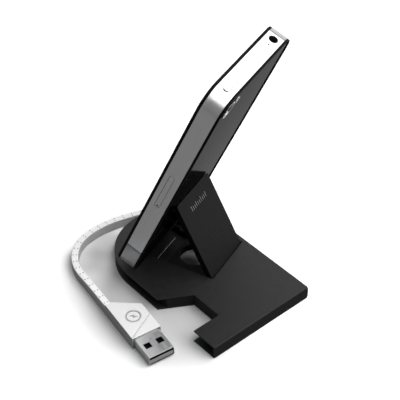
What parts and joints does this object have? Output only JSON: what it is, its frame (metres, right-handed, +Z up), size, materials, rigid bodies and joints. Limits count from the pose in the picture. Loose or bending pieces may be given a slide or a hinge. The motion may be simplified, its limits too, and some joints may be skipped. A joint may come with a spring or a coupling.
{
  "type": "personal digital assistant in a charging dock",
  "caption": "Glass-fronted handheld standing in a fold-flat card dock: a hinged connector holds its foot, a propping flap its back, and a flat white lead ends in a USB plug.",
  "frame": {"origin": "middle of the card dock's underside, on the surface it stands on", "axes": "+Z up; +X along the card towards its square end; +Y towards the card's plain long edge, away from the plug"},
  "size_m": [0.095, 0.0925, 0.1161],
  "materials": {
    "dock_plastic": "fine satin black",
    "dock_core": "moulded black",
    "flap_plastic": "satin black with fine print",
    "pin_steel": "drawn",
    "wire_sleeve": "extruded",
    "board": "solder mask",
    "connector_plastic": "moulded",
    "connector_steel": "stamped and plated",
    "contact_gold": "gold flash",
    "front_glass": "polished, black underside",
    "back_glass": "polished, black underside",
    "band_steel": "fine satin",
    "gap_strip": "moulded black",
    "plate_steel": "stamped",
    "display": "dark panel",
    "battery_wrap": "film wrap",
    "chip": "moulded",
    "lens_ring": "turned, dark polish",
    "lens_glass": "coated",
    "flash_lens": "clear pale",
    "mesh": "woven black",
    "speaker_plastic": "moulded",
    "home_key": "gloss black",
    "key_steel": "fine satin",
    "tray_steel": "fine satin",
    "card_plastic": "plain white card",
    "lead_rubber": "satin white",
    "mould_plastic": "smooth white",
    "emblem": "pale inlay"
  },
  "bodies": {
    "base": {"bottom_sheet": "dock_plastic", "base_core": "dock_core", "top_sheet": "dock_plastic", "cable_gland": "dock_core", "dock_wires": "wire_sleeve", "dock_board": "board", "flap_pin": "pin_steel", "block_pin": "pin_steel", "charge_lead": "lead_rubber", "plug_mould": "mould_plastic", "plug_emblem": "emblem", "usb_shell": "connector_steel", "usb_insulator": "connector_plastic", "usb_contacts": "contact_gold"},
    "connector": {"connector_block": "connector_plastic", "connector_shell": "connector_steel", "connector_insulator": "connector_plastic", "connector_contacts": "contact_gold"},
    "flap": {"flap": "flap_plastic"},
    "handset": {"front_glass": "front_glass", "back_glass": "back_glass", "band_near": "band_steel", "band_far": "band_steel", "band_foot": "band_steel", "band_gap_strips": "gap_strip", "mid_plate": "plate_steel", "display_panel": "display", "battery": "battery_wrap", "logic_board": "board", "shield_cans": "plate_steel", "logic_chips": "chip", "rear_camera": "chip", "camera_ring": "lens_ring", "camera_window": "lens_glass", "flash_lamp": "flash_lens", "front_camera": "chip", "earpiece": "speaker_plastic", "earpiece_mesh": "mesh", "speaker_box": "speaker_plastic", "microphone_box": "speaker_plastic", "jack_barrel": "connector_plastic", "vibration_motor": "plate_steel", "foot_grilles": "mesh", "dock_port": "connector_steel", "port_contacts": "contact_gold", "foot_screws": "pin_steel", "home_switch": "chip", "key_switches": "chip", "sim_reader": "connector_steel"},
    "home_button": {"home_button": "home_key"},
    "power_button": {"power_button": "key_steel"},
    "volume_up_button": {"volume_up_button": "key_steel"},
    "volume_down_button": {"volume_down_button": "key_steel"},
    "mute_switch": {"mute_switch": "key_steel"},
    "sim_tray": {"sim_tray": "tray_steel", "sim_card": "card_plastic"}
  },
  "joints": [
    {"name": "dock_tilt", "type": "hinge", "parent": "base", "child": "connector", "pos_m": [-0.02953, -0.00238, 0.0022], "axis": [0.3482, -0.9374, 0], "range_deg": [0, 21.5]},
    {"name": "flap_fold", "type": "hinge", "parent": "base", "child": "flap", "pos_m": [0.00577, 0.01073, 0.00505], "axis": [0.3482, -0.9374, 0], "range_deg": [0, 32.5]},
    {"name": "handset_undock", "type": "slide", "parent": "connector", "child": "handset", "axis": [0.3804, 0.1413, 0.914], "range_m": [0, 0.012]},
    {"name": "home_press", "type": "slide", "parent": "handset", "child": "home_button", "axis": [0.8568, 0.3183, -0.4058], "range_m": [0, 0.0004], "stiffness_N_per_m": 300},
    {"name": "power_press", "type": "slide", "parent": "handset", "child": "power_button", "axis": [-0.3804, -0.1413, -0.914], "range_m": [0, 0.0004], "stiffness_N_per_m": 300},
    {"name": "volume_up_press", "type": "slide", "parent": "handset", "child": "volume_up_button", "axis": [0.3482, -0.9374, 0], "range_m": [0, 0.0004], "stiffness_N_per_m": 300},
    {"name": "volume_down_press", "type": "slide", "parent": "handset", "child": "volume_down_button", "axis": [0.3482, -0.9374, 0], "range_m": [0, 0.0004], "stiffness_N_per_m": 300},
    {"name": "mute_slide", "type": "slide", "parent": "handset", "child": "mute_switch", "axis": [0.8568, 0.3183, -0.4058], "range_m": [0, 0.0016]},
    {"name": "sim_tray_slide", "type": "slide", "parent": "handset", "child": "sim_tray", "axis": [0.3482, -0.9374, 0], "range_m": [0, 0.018]}
  ],
  "couplings": [
    {"joint": "flap_fold", "follows": "dock_tilt", "ratio": 1.5}
  ]
}
